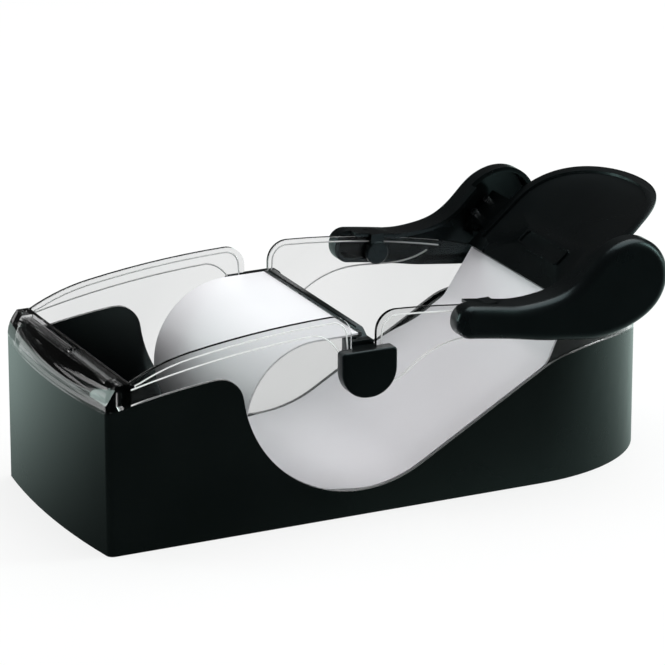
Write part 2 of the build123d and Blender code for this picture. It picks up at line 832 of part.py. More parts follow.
with BuildPart() as guide_near:
    mirror(guide_far.part, about=Plane.XZ)
guide_near.part.label = "guide_near"
export_step(guide_near.part, "parts/guide_near.step")

# ---- Strip under the leaf that clamps the sheet's end, and its screws
clamp_depth = leaf_thickness + 2 * clamp_fit + sheet_thickness
with BuildPart() as clamp_strip:
    with BuildSketch(leaf_face.offset(-clamp_depth)):
        with Locations((clamp_fit, 0)):
            Rectangle(clamp_length, sheet_width, align=(Align.MIN, Align.CENTER))
    extrude(amount=-clamp_thickness)
    with BuildSketch(leaf_face.offset(-clamp_depth)):
        with Locations(*clamp_screw_spots):
            Circle(clamp_screw_radius)
    extrude(amount=-clamp_thickness, mode=Mode.SUBTRACT)
clamp_strip.part.label = "clamp_strip"
export_step(clamp_strip.part, "parts/clamp_strip.step")

with BuildPart() as clamp_screws:
    with BuildSketch(leaf_face.offset(-clamp_depth - clamp_thickness)):
        with Locations(*clamp_screw_spots):
            Circle(clamp_screw_radius)
    extrude(amount=clamp_depth + clamp_thickness - leaf_thickness + clamp_screw_bite)
    with BuildSketch(leaf_face.offset(-clamp_depth - clamp_thickness)):
        with Locations(*clamp_screw_spots):
            Circle(clamp_screw_head_radius)
    extrude(amount=-clamp_screw_head_height)
clamp_screws.part.label = "clamp_screws"
export_step(clamp_screws.part, "parts/clamp_screws.step")
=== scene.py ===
"""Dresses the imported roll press: black base, clear walls, white film, black lever."""

from __future__ import annotations

import json
import logging
import math
from dataclasses import dataclass, field
from enum import Enum

import bmesh
import bpy
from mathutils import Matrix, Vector


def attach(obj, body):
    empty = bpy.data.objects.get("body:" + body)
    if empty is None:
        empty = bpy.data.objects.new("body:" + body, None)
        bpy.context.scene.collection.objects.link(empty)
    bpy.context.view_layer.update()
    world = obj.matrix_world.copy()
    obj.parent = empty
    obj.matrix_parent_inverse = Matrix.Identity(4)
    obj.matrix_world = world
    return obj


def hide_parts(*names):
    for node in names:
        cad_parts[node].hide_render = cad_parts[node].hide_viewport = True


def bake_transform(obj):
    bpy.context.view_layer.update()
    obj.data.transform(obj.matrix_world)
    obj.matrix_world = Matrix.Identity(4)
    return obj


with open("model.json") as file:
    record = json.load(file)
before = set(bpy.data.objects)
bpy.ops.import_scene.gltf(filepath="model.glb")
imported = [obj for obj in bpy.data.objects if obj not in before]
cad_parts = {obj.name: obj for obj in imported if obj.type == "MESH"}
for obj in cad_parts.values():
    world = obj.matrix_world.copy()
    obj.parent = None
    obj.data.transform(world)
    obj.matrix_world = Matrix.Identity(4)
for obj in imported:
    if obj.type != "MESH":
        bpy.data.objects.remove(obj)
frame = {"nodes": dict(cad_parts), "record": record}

MM = 0.001
WELD = 0.002 * MM  # points nearer to each other than this become one
TOP, BOTTOM = 90.0, 270.0  # of a circle in the side view, in degrees
COOL = (0.8, 1.0, 0.94)  # colour of the side boxes and of the mirrored floor

# How far a face's normal leans to one side, from 0 to 1, for the face to be of a kind.
LEVEL = 0.15  # upwards or downwards: it lies on a piece or under it
UPRIGHT = 0.6  # along the press: it stands across
FLANK = 0.99  # sideways: it is a wall's side
ACROSS = 0.3  # no more than this sideways: it runs across a wall

log = logging.getLogger("roll_press")


class Body(Enum):
    """The two bodies of the press."""

    BASE = "base"
    LEVER = "lever"


class Slot(Enum):
    """The record's material slots."""

    BASE = "base"
    LEVER = "lever"
    CLEAR = "clear"
    SHEET = "sheet"
    PAD = "pad"
    STEEL = "steel"


# ---------------------------------------------------------------- small tools


def pick(obj: bpy.types.Object) -> None:
    """Makes an object the only selected one and the active one.

    Args:
        obj: The object.
    """
    bpy.ops.object.select_all(action="DESELECT")
    obj.select_set(True)
    bpy.context.view_layer.objects.active = obj


def add_piece(name: str, mesh: bpy.types.Mesh) -> bpy.types.Object:
    """Puts a new object in the scene and picks it.

    Args:
        name: The object's name.
        mesh: Its mesh.

    Returns:
        The object.
    """
    piece = bpy.data.objects.new(name, mesh)
    bpy.context.scene.collection.objects.link(piece)
    pick(piece)
    return piece


def eased(value: float, low: float, high: float) -> float:
    """Rises from 0 to 1 between two values, with a soft start and end.

    Args:
        value: The value.
        low: Where the rise starts.
        high: Where it ends.

    Returns:
        The share that is reached.
    """
    t = max(0.0, min(1.0, (value - low) / (high - low)))
    return t * t * (3 - 2 * t)


# ---------------------------------------------------------------- nodes of materials


def shader_of(material: bpy.types.Material) -> bpy.types.Node:
    """The material's Principled shader node."""
    return material.node_tree.nodes["Principled BSDF"]


def add_noise(tree: bpy.types.NodeTree, scale: float, detail: float) -> bpy.types.NodeSocket:
    """Adds a cloudy pattern that keeps its place on the object.

    Args:
        tree: The material's node tree.
        scale: Repeats per metre.
        detail: How many finer layers it has.

    Returns:
        The pattern, from 0 to 1.
    """
    where = tree.nodes.new("ShaderNodeTexCoord")
    noise = tree.nodes.new("ShaderNodeTexNoise")
    noise.inputs["Scale"].default_value = scale
    noise.inputs["Detail"].default_value = detail
    tree.links.new(where.outputs["Object"], noise.inputs["Vector"])
    return noise.outputs["Fac"]


def add_range(
    tree: bpy.types.NodeTree,
    value: bpy.types.NodeSocket,
    source: tuple[float, float] = (0.0, 1.0),
    target: tuple[float, float] = (0.0, 1.0),
    soft: bool = False,
) -> bpy.types.Node:
    """Adds a node that turns one range of values into another.

    Args:
        tree: The node tree.
        value: The value that comes in.
        source: The range that it comes from.
        target: The range that it is turned into.
        soft: Whether it starts and ends softly.

    Returns:
        The node.
    """
    node = tree.nodes.new("ShaderNodeMapRange")
    if soft:
        node.interpolation_type = "SMOOTHSTEP"
    for socket, number in zip(("From Min", "From Max", "To Min", "To Max"), (*source, *target)):
        node.inputs[socket].default_value = number
    tree.links.new(value, node.inputs["Value"])
    return node


def add_math(
    tree: bpy.types.NodeTree,
    operation: str,
    first: bpy.types.NodeSocket,
    second: bpy.types.NodeSocket,
) -> bpy.types.NodeSocket:
    """Adds a calculation with two values.

    Args:
        tree: The node tree.
        operation: Blender's name for the calculation.
        first: The first value.
        second: The second value.

    Returns:
        The result.
    """
    node = tree.nodes.new("ShaderNodeMath")
    node.operation = operation
    tree.links.new(first, node.inputs[0])
    tree.links.new(second, node.inputs[1])
    return node.outputs[0]


# ---------------------------------------------------------------- finishes


@dataclass(frozen=True)
class Grain:
    """A fine bump laid over a surface.

    Attributes:
        scale: Repeats per metre.
        strength: Share of the bump that is felt.
        depth: Height of the bump in metres.
        detail: How many finer layers it has.
    """

    scale: float
    strength: float
    depth: float
    detail: float = 3.0

    def lay(self, material: bpy.types.Material) -> None:
        """Wires the bump into a material.

        Args:
            material: The material that gets the grain.
        """
        tree = material.node_tree
        bump = tree.nodes.new("ShaderNodeBump")
        bump.inputs["Strength"].default_value = self.strength
        bump.inputs["Distance"].default_value = self.depth
        tree.links.new(add_noise(tree, self.scale, self.detail), bump.inputs["Height"])
        tree.links.new(bump.outputs["Normal"], shader_of(material).inputs["Normal"])


@dataclass(frozen=True)
class Smudge:
    """Slow changes of roughness, as handling leaves them.

    Attributes:
        scale: Repeats per metre.
        low: Roughness of the cleanest places.
        high: Roughness of the dullest places.
        detail: How many finer layers the pattern has.
        span: The part of the pattern that is used.
    """

    scale: float
    low: float
    high: float
    detail: float = 4.0
    span: tuple[float, float] = (0.3, 0.7)

    def lay(self, material: bpy.types.Material) -> None:
        """Wires the roughness into a material.

        Args:
            material: The material that gets the smudges.
        """
        tree = material.node_tree
        pattern = add_noise(tree, self.scale, self.detail)
        spread = add_range(tree, pattern, self.span, (self.low, self.high))
        tree.links.new(spread.outputs["Result"], shader_of(material).inputs["Roughness"])


@dataclass(frozen=True)
class PaintedDarkEnd:
    """Painted shade on the left end: a darker colour that stands in for the black base seen
    through the clear plastic.

    Attributes:
        begin: Where it starts to clear, along x in metres.
        end: Where it is clear.
        share: How much of the colour is kept at the dark end.
    """

    begin: float
    end: float
    share: float

    def darken(
        self, tree: bpy.types.NodeTree, colour: bpy.types.NodeSocket
    ) -> bpy.types.NodeSocket:
        """Paints shade into a colour towards the left end.

        Args:
            tree: The material's node tree.
            colour: The colour.

        Returns:
            The colour with its dark end.
        """
        where = tree.nodes.new("ShaderNodeTexCoord")
        split = tree.nodes.new("ShaderNodeSeparateXYZ")
        tree.links.new(where.outputs["Object"], split.inputs["Vector"])
        fade = add_range(
            tree, split.outputs["X"], (self.begin, self.end), (self.share, 1.0), soft=True
        )
        product = tree.nodes.new("ShaderNodeMix")
        product.data_type = "RGBA"
        product.blend_type = "MULTIPLY"
        product.inputs["Factor"].default_value = 1.0
        tree.links.new(colour, product.inputs["A"])
        tree.links.new(fade.outputs["Result"], product.inputs["B"])
        return product.outputs["Result"]


@dataclass(frozen=True)
class Tint:
    """A slow drift between two shades of one colour.

    Attributes:
        scale: Repeats per metre.
        deep: The darker shade.
        light: The lighter shade.
        painted_shade: The painted shade that darkens its left end, or None.
        detail: How many finer layers the pattern has.
        span: The part of the pattern that is used.
    """

    scale: float
    deep: tuple[float, float, float]
    light: tuple[float, float, float]
    painted_shade: PaintedDarkEnd | None = None
    detail: float = 2.0
    span: tuple[float, float] = (0.35, 0.65)

    def lay(self, material: bpy.types.Material) -> None:
        """Wires the colour into a material.

        Args:
            material: The material that gets the tint.
        """
        tree = material.node_tree
        ramp = tree.nodes.new("ShaderNodeValToRGB")
        shades = (self.deep, self.light)
        for stop, place, shade in zip(ramp.color_ramp.elements, self.span, shades):
            stop.position = place
            stop.color = (*shade, 1.0)
        tree.links.new(add_noise(tree, self.scale, self.detail), ramp.inputs["Fac"])
        colour = ramp.outputs["Color"]
        # Painted shade: the colour is darkened towards the left end.
        if self.painted_shade:
            colour = self.painted_shade.darken(tree, colour)
        tree.links.new(colour, shader_of(material).inputs["Base Color"])


@dataclass(frozen=True)
class Finish:
    """One finish of the press.

    Attributes:
        name: The material's name.
        slot: The record's slot that it stands for.
        tint: Its colour.
        smudge: Its roughness.
        grain: Its bump, or None where the surface is smooth.
        settings: Constants for the shader's own sockets.
    """

    name: str
    slot: Slot
    tint: Tint
    smudge: Smudge
    grain: Grain | None = None
    settings: tuple[tuple[str, float | tuple[float, ...]], ...] = ()

    def make(self) -> bpy.types.Material:
        """Builds the material, or finds it where it is built already.

        Returns:
            The material.
        """
        known = bpy.data.materials.get(self.name)
        if known:
            return known
        material = bpy.data.materials.new(self.name)
        material.use_nodes = True
        for socket, value in self.settings:
            shader_of(material).inputs[socket].default_value = value
        self.tint.lay(material)
        self.smudge.lay(material)
        if self.grain:
            self.grain.lay(material)
        return material

    def dress(self, obj: bpy.types.Object) -> None:
        """Puts the material on every face of an object.

        Args:
            obj: The mesh object.
        """
        obj.data.materials.clear()
        obj.data.materials.append(self.make())


BASE_BLACK = Finish(
    "base_satin_black",
    Slot.BASE,
    Tint(18.0, (0.0016, 0.0022, 0.0023), (0.0026, 0.0034, 0.0035)),
    Smudge(9.0, 0.2, 0.3),
    Grain(2600.0, 0.04, 0.0002),
    (("Specular IOR Level", 0.45), ("Specular Tint", (0.8, 1.0, 0.97, 1.0))),
)
LEVER_BLACK = Finish(
    "lever_soft_black",
    Slot.LEVER,
    Tint(30.0, (0.0014, 0.0018, 0.002), (0.0024, 0.003, 0.0032)),
    Smudge(24.0, 0.24, 0.34),
    Grain(3200.0, 0.06, 0.0002),
    (("Specular IOR Level", 0.34), ("Specular Tint", (0.7, 0.95, 1.0, 1.0))),
)
# The clear walls' colour carries painted shade at the left end, darker towards the black base.
CLEAR = Finish(
    "clear_wall",
    Slot.CLEAR,
    Tint(12.0, (0.76, 0.765, 0.765), (0.81, 0.81, 0.81), PaintedDarkEnd(-0.119, -0.1035, 0.24)),
    Smudge(14.0, 0.01, 0.04),
    None,
    (("Transmission Weight", 1.0), ("IOR", 1.49), ("Specular Tint", (0.22, 0.24, 0.24, 1.0))),
)
# Near-white and nearly opaque: this finish paints highlight lines onto the clear walls' beads.
PAINTED_HIGHLIGHT_BEAD = Finish(
    "painted_highlight_bead",
    Slot.CLEAR,
    Tint(40.0, (0.93, 0.93, 0.93), (0.97, 0.97, 0.97)),
    Smudge(40.0, 0.2, 0.4),
    None,
    (("Transmission Weight", 0.08), ("IOR", 1.49)),
)
FILM_WHITE = Finish(
    "milky_film",
    Slot.SHEET,
    Tint(14.0, (0.86, 0.85, 0.88), (0.9, 0.89, 0.92)),
    Smudge(20.0, 0.3, 0.42),
    Grain(900.0, 0.04, 0.0003),
    (("Specular IOR Level", 0.35),),
)
PAD_GREY = Finish(
    "pad_rubber",
    Slot.PAD,
    Tint(60.0, (0.03, 0.03, 0.03), (0.06, 0.06, 0.06)),
    Smudge(80.0, 0.7, 0.9),
    Grain(1800.0, 0.4, 0.0003),
)
STEEL = Finish(
    "plain_steel",
    Slot.STEEL,
    Tint(200.0, (0.48, 0.48, 0.49), (0.6, 0.6, 0.61)),
    Smudge(300.0, 0.22, 0.38),
    None,
    (("Metallic", 1.0),),
)
FINISHES = {f.slot: f for f in (BASE_BLACK, LEVER_BLACK, CLEAR, FILM_WHITE, PAD_GREY, STEEL)}


# ---------------------------------------------------------------- refined shells


@dataclass(frozen=True)
class Refined:
    """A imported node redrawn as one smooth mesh, its edges softened.

    Attributes:
        node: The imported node.
        body: The body that carries it.
        finish: Its finish.
        edge: Width of the softened edges in millimetres, or 0 to leave them as they are.
        rounds: Segments across a softened edge.
        sharp: Edges sharper than this angle are softened, in degrees.
        flat: Faces that differ less than this angle become one, in degrees.
    """

    node: str
    body: Body
    finish: Finish
    edge: float = 0.3
    rounds: int = 2
    sharp: float = 35.0
    flat: float = 0.3

    def shape(self, piece: bpy.types.Object) -> None:
        """Shapes the merged mesh; a plain piece stays as it is.

        Args:
            piece: The piece, in edit mode with nothing selected.
        """

    def soften(self, piece: bpy.types.Object) -> None:
        """Rounds the edges a little.

        Args:
            piece: The piece, in object mode.
        """
        bevel = piece.modifiers.new("soften", "BEVEL")
        bevel.width = self.edge * MM
        bevel.segments = self.rounds
        bevel.limit_method = "ANGLE"
        bevel.angle_limit = math.radians(self.sharp)
        bpy.ops.object.modifier_apply(modifier=bevel.name)

    def build(self) -> bpy.types.Object:
        """Makes the piece.

        Returns:
            The finished piece.
        """
        piece = add_piece(f"{self.node}_refined", frame["nodes"][self.node].data.copy())
        if piece.data.has_custom_normals:
            bpy.ops.mesh.customdata_custom_splitnormals_clear()
        bpy.ops.object.mode_set(mode="EDIT")
        bpy.ops.mesh.select_all(action="SELECT")
        bpy.ops.mesh.remove_doubles(threshold=WELD)
        if self.edge:
            bpy.ops.mesh.dissolve_limited(angle_limit=math.radians(self.flat), delimit={"NORMAL"})
        bpy.ops.mesh.select_all(action="DESELECT")
        self.shape(piece)
        bpy.ops.object.mode_set(mode="OBJECT")
        if self.edge:
            self.soften(piece)
        bpy.ops.object.shade_smooth_by_angle(angle=math.radians(self.sharp))
        self.finish.dress(piece)
        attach(piece, self.body.value)
        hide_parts(self.node)
        return piece


@dataclass(frozen=True)
class SeatedRail(Refined):
    """The clear frame, with a narrow tongue let into the base's top line.

    Attributes:
        shoulder: Width left beside the tongue in millimetres.
        tongue: How deep the tongue reaches, in millimetres.
        left: The tongue starts right of this.
        bay_end: Left of this, the frame also rests on faces that stand across the press.
    """

    shoulder: float = 0.45
    tongue: float = 0.4
    left: float = -104.0
    bay_end: float = -30.0

    def shape(self, piece: bpy.types.Object) -> None:
        """Draws the tongue out of the faces that rest on the base.

        Args:
            piece: The frame, in edit mode with nothing selected.
        """
        form = bmesh.from_edit_mesh(piece.data)
        for face in form.faces:
            middle = face.calc_center_median() / MM
            standing = face.normal.x < -UPRIGHT and middle.x < self.bay_end
            resting = face.normal.z < -LEVEL or standing
            face.select = resting and abs(face.normal.y) < ACROSS and middle.x > self.left
        bmesh.update_edit_mesh(piece.data)
        bpy.ops.mesh.inset(thickness=self.shoulder * MM, depth=self.tongue * MM)


@dataclass(frozen=True)
class FramedLeaf(Refined):
    """The lever's leaf, with the corners of its small raised frame rounded.

    Attributes:
        reach: Half the frame's length in millimetres.
        line: Width of its line in millimetres.
        outer: Radius of its outer corners in millimetres.
        inner: Radius of its inner corners in millimetres.
        post: Least and greatest height of a corner's edge in millimetres.
        lean: How far such an edge may lean sideways, in millimetres.
        near: How closely it keeps to the frame's ends, in millimetres.
        steps: Segments round a corner.
    """

    reach: float = 18.5
    line: float = 1.4
    outer: float = 2.0
    inner: float = 1.2
    post: tuple[float, float] = (0.5, 1.1)
    lean: float = 0.01
    near: float = 0.05
    steps: int = 4

    def shape(self, piece: bpy.types.Object) -> None:
        """Rounds the frame's corners, the outer ones more than the inner ones.

        Args:
            piece: The leaf, in edit mode with nothing selected.
        """
        least, most = self.post
        for side, radius in ((self.reach, self.outer), (self.reach - self.line, self.inner)):
            bpy.ops.mesh.select_all(action="DESELECT")
            form = bmesh.from_edit_mesh(piece.data)
            for edge in form.edges:
                low, high = (vert.co / MM for vert in edge.verts)
                upright = abs(low.y - high.y) < self.lean and least < (high - low).length < most
                edge.select = upright and abs(abs(low.y) - side) < self.near
            bmesh.update_edit_mesh(piece.data)
            bpy.ops.mesh.bevel(offset=radius * MM, segments=self.steps, affect="EDGES")


SHELLS = (
    SeatedRail("rail_frame", Body.BASE, CLEAR, edge=0.0),
    Refined("saddle_near", Body.BASE, LEVER_BLACK, edge=0.35),
    Refined("saddle_far", Body.BASE, LEVER_BLACK, edge=0.35),
    Refined("cross_bar", Body.BASE, LEVER_BLACK, edge=0.25),
    FramedLeaf("lever_leaf", Body.LEVER, LEVER_BLACK, edge=0.3),
    Refined("lever_arm_near", Body.LEVER, LEVER_BLACK, edge=0.4),
    Refined("lever_arm_far", Body.LEVER, LEVER_BLACK, edge=0.4),
)


# ---------------------------------------------------------------- the walls' beads


@dataclass
class LineWork:
    """Middle lines for the beads, with one point for each place.

    Attributes:
        form: The mesh that collects them.
        points: The points so far, by rounded place.
        digits: Decimals of a metre that tell two places apart.
    """

    form: bmesh.types.BMesh = field(default_factory=bmesh.new)
    points: dict[tuple[float, ...], bmesh.types.BMVert] = field(default_factory=dict)
    digits: int = 6

    def point(self, place: Vector) -> bmesh.types.BMVert:
        """Finds or adds a point.

        Args:
            place: Where it lies.

        Returns:
            The point.
        """
        key = tuple(round(value, self.digits) for value in place)
        if key not in self.points:
            self.points[key] = self.form.verts.new(place)
        return self.points[key]

    def draw(self, begin: Vector, end: Vector) -> None:
        """Draws a line between two places, unless they are one.

        Args:
            begin: The first place.
            end: The second place.
        """
        ends = [self.point(begin), self.point(end)]
        if ends[0] is not ends[1]:
            self.form.edges.new(ends)


@dataclass(frozen=True)
class WallBeads:
    """The fine beads moulded on the clear walls: under their edge and along their band. Their
    near-white colour is a painted highlight: it paints the bright lines that light draws along
    the walls.

    Attributes:
        radius: Radius of a bead in millimetres.
        rounds: How finely a bead is rounded.
        inset: How far the upper bead lies inside the wall's edge.
        band_y: Distance of the walls' thinner upper face from the middle.
        wall_y: Distance of their outer face.
        near: How closely a face has to keep to these distances.
        rest_top: Below this, upright edges belong to the base's line.
        sharp: Edges sharper than this angle stay sharp, in degrees.
    """

    radius: float = 0.35
    rounds: int = 2
    inset: float = 2.4
    band_y: float = 54.5
    wall_y: float = 55.0
    near: float = 0.02
    rest_top: float = 71.5
    sharp: float = 60.0

    def upper_edge(self, edge: bmesh.types.BMEdge, wall: bmesh.types.BMFace) -> bool:
        """Whether an edge lies on the wall's upper outline.

        Args:
            edge: The edge.
            wall: Its face that isn't the wall's side.

        Returns:
            True where the outline is open to the air.
        """
        if abs(wall.calc_center_median().y) > self.band_y * MM:
            return False
        high = min(vert.co.z for vert in edge.verts) > self.rest_top * MM
        return wall.normal.z > LEVEL or (abs(wall.normal.x) > UPRIGHT and high)

    def trace(self, rail: bpy.types.Object) -> bpy.types.Mesh:
        """Draws the beads' middle lines.

        Args:
            rail: The clear frame.

        Returns:
            A mesh of edges only.
        """
        form = bmesh.new()
        form.from_mesh(rail.data)
        form.normal_update()
        lines = LineWork()
        lean: dict[bmesh.types.BMVert, Vector] = {}
        rims: list[bmesh.types.BMEdge] = []
        for edge in form.edges:
            if len(edge.link_faces) != 2:
                continue
            side, wall = sorted(edge.link_faces, key=lambda face: -abs(face.normal.y))
            if abs(side.normal.y) < FLANK or abs(wall.normal.y) > ACROSS:
                continue
            depth = abs(side.calc_center_median().y) / MM
            if abs(depth - self.band_y) < self.near and self.upper_edge(edge, wall):
                rims.append(edge)
                for vert in edge.verts:
                    lean[vert] = lean.get(vert, Vector()) + wall.normal
            elif abs(depth - self.wall_y) < self.near and wall.normal.z > LEVEL:
                lines.draw(*(vert.co for vert in edge.verts))
        for edge in rims:
            lines.draw(*(self.inside(vert.co, lean[vert]) for vert in edge.verts))
        mesh = bpy.data.meshes.new("wall_beads")
        lines.form.to_mesh(mesh)
        form.free()
        lines.form.free()
        return mesh

    def inside(self, place: Vector, lean: Vector) -> Vector:
        """The upper bead's place beside a point of the wall's outline.

        Args:
            place: The point on the outline.
            lean: The direction out of the wall there.

        Returns:
            The place on the bead's line.
        """
        way = Vector((lean.x, 0, lean.z)).normalized()
        return place - way * self.inset * MM

    def build(self, rail: bpy.types.Object) -> bpy.types.Object:
        """Makes the beads along their lines.

        Args:
            rail: The clear frame.

        Returns:
            The finished piece.
        """
        add_piece("wall_beads", self.trace(rail))
        bpy.ops.object.convert(target="CURVE")
        cord = bpy.context.object.data
        cord.bevel_depth = self.radius * MM
        cord.bevel_resolution = self.rounds
        cord.use_fill_caps = True
        bpy.ops.object.convert(target="MESH")
        piece = bpy.context.object
        bpy.ops.object.mode_set(mode="EDIT")
        bpy.ops.mesh.select_all(action="SELECT")
        bpy.ops.mesh.remove_doubles(threshold=WELD)
        bpy.ops.mesh.normals_make_consistent(inside=False)
        bpy.ops.object.mode_set(mode="OBJECT")
        bpy.ops.object.shade_smooth_by_angle(angle=math.radians(self.sharp))
        # Painted highlight: the beads get a near-white finish.
        PAINTED_HIGHLIGHT_BEAD.dress(piece)
        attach(piece, Body.BASE.value)
        return piece


# ---------------------------------------------------------------- the film


@dataclass
class SideLine:
    """A line in the side view that grows from its last point, in millimetres.

    Attributes:
        points: Its points so far.
        step: The stretch from one point to the next.
        fewest: Least number of stretches on an arc.
    """

    points: list[Vector]
    step: float
    fewest: int = 4

    def arc(self, centre: tuple[float, float], radius: float, begin: float, end: float) -> None:
        """Adds an arc.

        Args:
            centre: The arc's centre.
            radius: Its radius.
            begin: The angle where it starts, in degrees.
            end: The angle where it ends, in degrees.
        """
        count = max(self.fewest, int(abs(math.radians(end - begin)) * radius / self.step))
        for i in range(1, count + 1):
            turn = math.radians(begin + (end - begin) * i / count)
            self.points.append(
                Vector((centre[0] + radius * math.cos(turn), centre[1] + radius * math.sin(turn)))
            )

    def line(self, end: Vector) -> None:
        """Adds a straight stretch.

        Args:
            end: Where it ends.
        """
        begin = self.points[-1].copy()
        count = max(1, int((end - begin).length / self.step))
        for i in range(1, count + 1):
            self.points.append(begin.lerp(end, i / count))

    def bend(self, corner: Vector, out: Vector, radius: float) -> None:
        """Adds a straight stretch to a rounded corner, and the rounding.

        Args:
            corner: The sharp corner.
            out: A point on the run that follows.
            radius: The rounding's radius.
        """
        before = (self.points[-1] - corner).normalized()
        after = (out - corner).normalized()
        half = math.acos(max(-1.0, min(1.0, before.dot(after)))) / 2
        reach = radius / math.tan(half)
        middle = corner + (before + after).normalized() * (radius / math.sin(half))
        self.line(corner + before * reach)
        first = self.points[-1] - middle
        last = corner + after * reach - middle
        begin = math.atan2(first.y, first.x)
        turn = (math.atan2(last.y, last.x) - begin + math.pi) % (2 * math.pi) - math.pi
        self.arc(tuple(middle), radius, math.degrees(begin), math.degrees(begin + turn))


@dataclass(frozen=True)
class Film:
    """The flexible sheet, in a long run and a short tail that meet on the lift.

    Sizes are in millimetres and angles in degrees. Places are x and z in the side view.

    Attributes:
        width: Its width at the bar, on the loop and at the leaf.
        valley_width: Its width in the valley, where it reaches the walls.
        widen: Where it starts and stops to widen after the loop.
        narrow_near: Where its near edge starts and stops to narrow on the ramp.
        narrow_far: Where its far edge does.
        thickness: Its thickness.
        start: Its fixed end under the bar.
        loop_centre: The centre of its loop in the bay.
        loop_radius: The loop's radius.
        valley_centre: The centre of the valley's floor.
        valley_radius: The valley's radius.
        slope: The ramp's slope.
        lift: Where it leaves the ramp.
        lift_radius: Its rounding there.
        grip_start: Where it meets the leaf.
        turn_radius: Its rounding there.
        grip_angle: The leaf's slope.
        grip: How much of it the leaf holds.
        seam_x: Where the run ends and the tail starts.
        still_x: Up to here the run would stay with the base.
        full_x: From here on it would move wholly with the lever.
        step: The stretch between two rows of points.
        across: The number of strips across it.
        sharp: Edges sharper than this angle stay sharp.
    """

    width: float = 93.5
    valley_width: float = 103.4
    widen: tuple[float, float] = (-18.5, 2.0)
    narrow_near: tuple[float, float] = (84.0, 97.0)
    narrow_far: tuple[float, float] = (60.0, 77.0)
    thickness: float = 0.8
    start: tuple[float, float] = (0.4, 77.8)
    loop_centre: tuple[float, float] = (-18.5, 44.25)
    loop_radius: float = 33.55
    valley_centre: tuple[float, float] = (-1.0, 66.5)
    valley_radius: float = 55.8
    slope: float = 30.0
    lift: tuple[float, float] = (89.0, 54.03)
    lift_radius: float = 10.0
    grip_start: tuple[float, float] = (102.78, 74.85)
    turn_radius: float = 4.0
    grip_angle: float = 40.71
    grip: float = 6.5
    seam_x: float = 97.7
    still_x: float = -5.0
    full_x: float = 163.4
    step: float = 1.5
    across: int = 24
    sharp: float = 40.0

    def side_line(self) -> list[Vector]:
        """Draws the whole line from the bar to the leaf.

        Returns:
            Its points.
        """
        path = SideLine([Vector(self.start)], self.step)
        path.line(Vector((self.loop_centre[0], self.start[1])))
        path.arc(self.loop_centre, self.loop_radius, TOP, BOTTOM)
        path.line(Vector((self.valley_centre[0], self.loop_centre[1] - self.loop_radius)))
        path.arc(self.valley_centre, self.valley_radius, BOTTOM, BOTTOM + self.slope)
        grip = Vector(self.grip_start)
        way = math.radians(self.grip_angle)
        end = grip + Vector((math.cos(way), math.sin(way))) * self.grip
        path.bend(Vector(self.lift), grip, self.lift_radius)
        path.bend(grip, end, self.turn_radius)
        path.line(end)
        return path.points

    def half_at(self, point: Vector, narrow: tuple[float, float]) -> float:
        """The width on one side of the middle: more where it lies between the walls.

        Args:
            point: The point in the side view.
            narrow: Where that side starts and stops to narrow.

        Returns:
            The width.
        """
        if point.x < self.loop_centre[0] or point.y > self.grip_start[1]:
            return self.width / 2
        share = eased(point.x, *self.widen) * (1 - eased(point.x, *narrow))
        return (self.width + (self.valley_width - self.width) * share) / 2

    def width_at(self, point: Vector) -> float:
        """The whole width at a point of the line."""
        return self.half_at(point, self.narrow_near) + self.half_at(point, self.narrow_far)

    def strip(self, name: str, points: list[Vector]) -> bpy.types.Object:
        """Makes one piece of the sheet.

        Args:
            name: The piece's name.
            points: Its line in the side view.

        Returns:
            The piece, with its thickness applied.
        """
        form = bmesh.new()
        rows: list[list[bmesh.types.BMVert]] = []
        for point in points:
            far, wide = self.half_at(point, self.narrow_far), self.width_at(point)
            places = [far - wide * j / self.across for j in range(self.across + 1)]
            rows.append([form.verts.new((point.x * MM, y * MM, point.y * MM)) for y in places])
        for low, high in zip(rows, rows[1:]):
            for j in range(self.across):
                form.faces.new((low[j], low[j + 1], high[j + 1], high[j]))
        mesh = bpy.data.meshes.new(name)
        form.to_mesh(mesh)
        form.free()
        piece = add_piece(name, mesh)
        wall = piece.modifiers.new("wall", "SOLIDIFY")
        wall.thickness = self.thickness * MM
        wall.offset = 0.0
        bpy.ops.object.modifier_apply(modifier=wall.name)
        bpy.ops.object.shade_smooth_by_angle(angle=math.radians(self.sharp))
        FILM_WHITE.dress(piece)
        return piece

    def tie(self, run: bpy.types.Object, tail: bpy.types.Object, seam: Vector) -> None:
        """Works out the spans over which both pieces would follow the base and the lever, alike
        where they meet; it uses none of them and only bakes each piece's place into its mesh.

        Args:
            run: The long piece.
            tail: The short piece.
            seam: Where they meet.
        """
        share = (seam.x - self.still_x) / (self.full_x - self.still_x)
        grip = Vector(self.grip_start)
        low = grip - (grip - seam) / (1 - share)
        spans = (
            (run, (self.still_x * MM, 0, 0), (self.full_x * MM, 0, 0)),
            (tail, (low.x * MM, 0, low.y * MM), (grip.x * MM, 0, grip.y * MM)),
        )
        for piece, still, full in spans:
            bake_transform(piece)

    def declare(self, points: list[Vector]) -> None:
        """Adds up the length of a piece's line and hides the imported sheet node.

        Args:
            points: Its line in the side view.
        """
        for a, b in zip(points, points[1:]):
            length += (b - a).length
        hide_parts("sheet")

    def build(self) -> list[bpy.types.Object]:
        """Makes both pieces.

        Returns:
            The run and the tail.
        """
        path = self.side_line()
        cut = max(i for i, p in enumerate(path) if p.x <= self.seam_x)
        lines = {"film_run": path[: cut + 1], "film_tail": path[cut:]}
        pieces = [self.strip(name, points) for name, points in lines.items()]
        self.tie(*pieces, path[cut])
        for piece, points in zip(pieces, lines.values()):
            self.declare(points)
        return pieces


# ---------------------------------------------------------------- the studio


